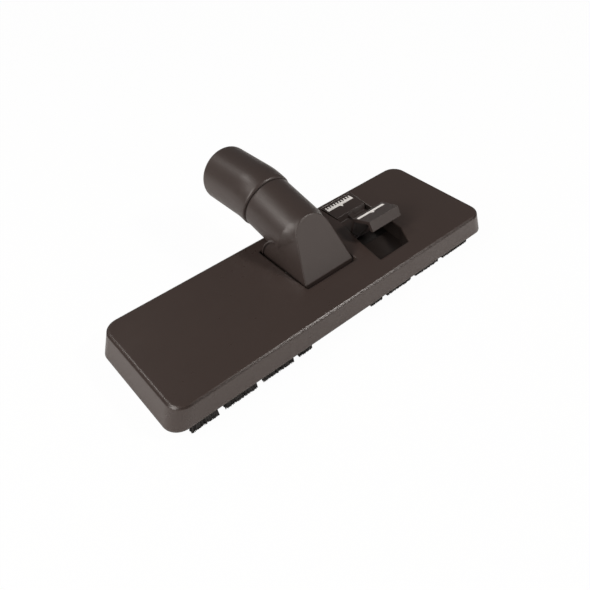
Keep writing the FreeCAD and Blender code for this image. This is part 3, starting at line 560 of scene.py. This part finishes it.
def lifter_red(name):
    finish = Finish(name)
    tuft = finish.noise(1.2 * MM, 3, 0.6)
    finish.set(
        Base_Color=finish.mix(tuft, (0.16, 0.010, 0.010), (0.36, 0.030, 0.026)),
        Roughness=0.9,
        Specular_IOR_Level=0.2,
    )
    return finish.material


pile_red = lifter_red("pile_red")


def pile_strip(node, seed):
    runs = [
        hair_run(low, high, PILE_STEP, PILE_RADIUS, PILE_SHAKE, seed + number)
        for number, (low, high) in enumerate(islands(node))
    ]
    name = node.replace("lifter", "pile")
    strip = settle(join_up(runs), name, pile_red, "head")
    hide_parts(node)
    print(strip.name, len(strip.data.polygons), "faces")


for number, node in enumerate(("front_thread_lifter", "rear_thread_lifter")):
    pile_strip(node, seed=10 * number + 70)


# %% [markdown]
# ## Signs on the pedal
#
# Two white signs tell the foot what the pedal does: on the rear pad a brush with its hairs
# out, and on the front pad the same bar without them. Each is a thin raised print. The bar
# starts as a flat grid whose front edge is pulled out into a nub, and the hairs are small
# bars of their own; a Solidify gives the print its thickness.

# %% White print
def white_print(name):
    finish = Finish(name)
    wear = finish.noise(1.5 * MM, 3, 0.6)
    finish.set(
        Base_Color=finish.mix(wear, (0.74, 0.73, 0.71), (0.90, 0.89, 0.87)),
        Roughness=finish.spread(wear, 0.40, 0.55),
    )
    return finish.material


sign_white = white_print("sign_white")


# %% Flat bars, laid on a pad
PRINT_THICKNESS = 0.15 * MM
NUB = 2.4 * MM
NUB_HALF = 1.6 * MM
BAR_CELLS = 8
TINY = 0.01 * MM


def flat_bar(left, right_end, front, rear, nub=0.0):
    """A flat bar in plan, at z = 0, with a nub pulled out of the middle of its front edge."""
    middle = (left + right_end) / 2
    let_go()
    bpy.ops.mesh.primitive_grid_add(
        x_subdivisions=BAR_CELLS,
        y_subdivisions=1,
        size=1,
        location=(middle, (front + rear) / 2, 0),
    )
    bar = bpy.context.object
    bar.scale = (right_end - left, rear - front, 1)
    take(bar)
    bpy.ops.object.transform_apply(location=True, rotation=True, scale=True)
    if nub:
        near = (right_end - left) / BAR_CELLS * 1.2
        for point in bar.data.vertices:
            offset = point.co.x - middle
            if abs(offset) < near and abs(point.co.y - front) < TINY:
                if abs(offset) < TINY:
                    point.co.x = middle
                    point.co.y -= nub
                else:
                    point.co.x = middle + math.copysign(NUB_HALF, offset)
    return bar


def lay_on(piece, origin, slope):
    """Lift a flat piece to a point and tip it about X by a slope."""
    for point in piece.data.vertices:
        flat = point.co.copy()
        point.co = Vector((
            flat.x,
            origin.y + flat.y * math.cos(slope),
            origin.z + flat.y * math.sin(slope),
        ))


def print_sign(bars, name, origin, slope):
    sign = join_up(bars)
    lay_on(sign, origin, slope)
    thick = sign.modifiers.new("print", "SOLIDIFY")
    thick.thickness = PRINT_THICKNESS
    thick.offset = 1
    take(sign)
    bpy.ops.object.modifier_apply(modifier=thick.name)
    settle(sign, name, sign_white, "pedal")
    print(sign.name, len(sign.data.polygons), "faces")


# %% The brush sign on the rear pad
REAR_PAD = Vector((0, head_middle + 33.9 * MM, 26.2 * MM))
BRUSH_LEFT = 51.4 * MM
BRUSH_RIGHT = 77.0 * MM
HAIR_MARKS = 10
HAIR_MARK_HALF = 0.55 * MM
HAIR_MARK_INSET = 0.8 * MM

brush_bars = [flat_bar(BRUSH_LEFT, BRUSH_RIGHT, 0, 2.6 * MM, nub=NUB)]
mark_reach = BRUSH_RIGHT - BRUSH_LEFT - 2 * HAIR_MARK_INSET
for number in range(HAIR_MARKS):
    middle = BRUSH_LEFT + HAIR_MARK_INSET + number * mark_reach / (HAIR_MARKS - 1)
    brush_bars.append(
        flat_bar(middle - HAIR_MARK_HALF, middle + HAIR_MARK_HALF, 2.5 * MM, 4.9 * MM)
    )
print_sign(brush_bars, "brush_sign", REAR_PAD, 0)

# %% The bar sign on the front pad
PAD_FRONT = (-12.0 * MM, 43.4 * MM)
PAD_BACK = (4.4 * MM, 37.4 * MM)
pad_slope = math.atan2(PAD_BACK[1] - PAD_FRONT[1], PAD_BACK[0] - PAD_FRONT[0])
print_sign(
    [flat_bar(48.8 * MM, 74.6 * MM, 12.0 * MM, 14.6 * MM, nub=NUB)],
    "bar_sign",
    Vector((0, head_middle + PAD_FRONT[0], PAD_FRONT[1])),
    pad_slope,
)


# %% [markdown]
# ## Floor
#
# The tool stands on a plain pale floor, as in a light box: most of the light on its walls
# comes up from the floor. The floor keeps the tool's shadow, but looks almost white to the
# camera: Light Path's Is Camera Ray mixes in a plain white glow, except under the head, so
# that nothing bright shows through the gaps round the neck. Mirror rays see the pale floor
# alone, so the bounced light doesn't turn into a glare on the walls.

# %% The floor
FLOOR_WIDTH = 6
FLOOR_DROP = 0.2 * MM
FLOOR_BOUNCE = 1.6
BOUNCE_SHARE = 0.8
WHITE_TO_CAMERA = 0.97

let_go()
bpy.ops.mesh.primitive_plane_add(size=FLOOR_WIDTH, location=(0, 0, -FLOOR_DROP))
floor = bpy.context.object
floor.name = "floor"
floor_finish = Finish("floor_white")
floor_finish.set(Base_Color=(0.80, 0.80, 0.80), Roughness=0.9, Specular_IOR_Level=0.1)
seen = floor_finish.node("ShaderNodeLightPath", output="Is Camera Ray")
mirrored = floor_finish.node("ShaderNodeLightPath", output="Is Glossy Ray")
plain = Wire(floor_finish, floor_finish.shader.outputs[0])
bounce = floor_finish.node(
    "ShaderNodeEmission", {}, {"Color": (1.0, 0.94, 0.88), "Strength": FLOOR_BOUNCE}
)
lit = floor_finish.node(
    "ShaderNodeMixShader",
    {},
    {0: (1 - seen) * (1 - mirrored) * BOUNCE_SHARE, 1: plain, 2: bounce},
)
glow = floor_finish.node("ShaderNodeEmission", {}, {"Color": (1.0, 1.0, 1.0), "Strength": 1.0})
under_head = floor_finish.inside(
    (-0.125, head_middle - 0.030, -0.050), (0.125, head_middle + 0.030, 0.050)
)
shown = floor_finish.node(
    "ShaderNodeMixShader", {}, {0: seen * (1 - under_head) * WHITE_TO_CAMERA, 1: lit, 2: glow}
)
floor_finish.tree.links.new(
    shown.source, floor_finish.tree.nodes["Material Output"].inputs["Surface"]
)
floor.data.materials.append(floor_finish.material)
print("floor:", FLOOR_WIDTH, "m wide")


# %% [markdown]
# ## Sky and lamps
#
# The sky is dim, so that the top of the tool stays dark, but to the camera it is as white as
# the floor. One soft lamp high on the left gives the streak on the tube, a lower one lights
# the left walls, and a small lamp in front and one behind draw the bright lines along the
# edges. A weak low lamp fills the shield of the neck.

# %% The sky
SKY_STRENGTH = 0.12

world = bpy.data.worlds.new("studio")
bpy.context.scene.world = world
world.use_nodes = True
sky = world.node_tree.nodes["Background"]
backdrop = world.node_tree.nodes.new("ShaderNodeBackground")
for background, strength in ((sky, SKY_STRENGTH), (backdrop, WHITE_TO_CAMERA)):
    background.inputs["Color"].default_value = (1.0, 1.0, 1.0, 1)
    background.inputs["Strength"].default_value = strength
first_sight = world.node_tree.nodes.new("ShaderNodeLightPath")
choice = world.node_tree.nodes.new("ShaderNodeMixShader")
world_links = world.node_tree.links
world_links.new(first_sight.outputs["Is Camera Ray"], choice.inputs[0])
world_links.new(sky.outputs[0], choice.inputs[1])
world_links.new(backdrop.outputs[0], choice.inputs[2])
world_links.new(choice.outputs[0], world.node_tree.nodes["World Output"].inputs["Surface"])


# %% The lamps
LAMP_COLOUR = (1.0, 0.95, 0.91)


def soft_lamp(name, place, aim_height, size, power):
    """A square or oblong lamp that looks at a point over the middle of the floor."""
    light = bpy.data.lights.new(name, "AREA")
    light.color = LAMP_COLOUR
    light.shape = "RECTANGLE"
    light.size, light.size_y = size
    light.energy = power
    lamp = bpy.data.objects.new(name, light)
    bpy.context.scene.collection.objects.link(lamp)
    lamp.location = place
    away = Vector(place) - Vector((0, 0, aim_height))
    lamp.rotation_euler = away.to_track_quat("Z", "Y").to_euler()


soft_lamp("high_left_lamp", (-0.95, 0.25, 1.12), 0.03, size=(0.5, 0.5), power=7)
soft_lamp("low_left_lamp", (-1.28, -0.20, 0.70), 0.02, size=(0.7, 0.5), power=10.5)
soft_lamp("front_lamp", (0.66, -0.86, 1.04), 0.02, size=(0.2, 0.2), power=11)
soft_lamp("rear_lamp", (-0.36, 0.86, 1.15), 0.02, size=(0.2, 0.2), power=3)
soft_lamp("low_front_lamp", (0.62, -1.30, 0.32), 0.04, size=(0.9, 0.5), power=2)

bpy.context.scene.view_settings.view_transform = "Standard"
print("lamps:", [light.name for light in bpy.data.lights])
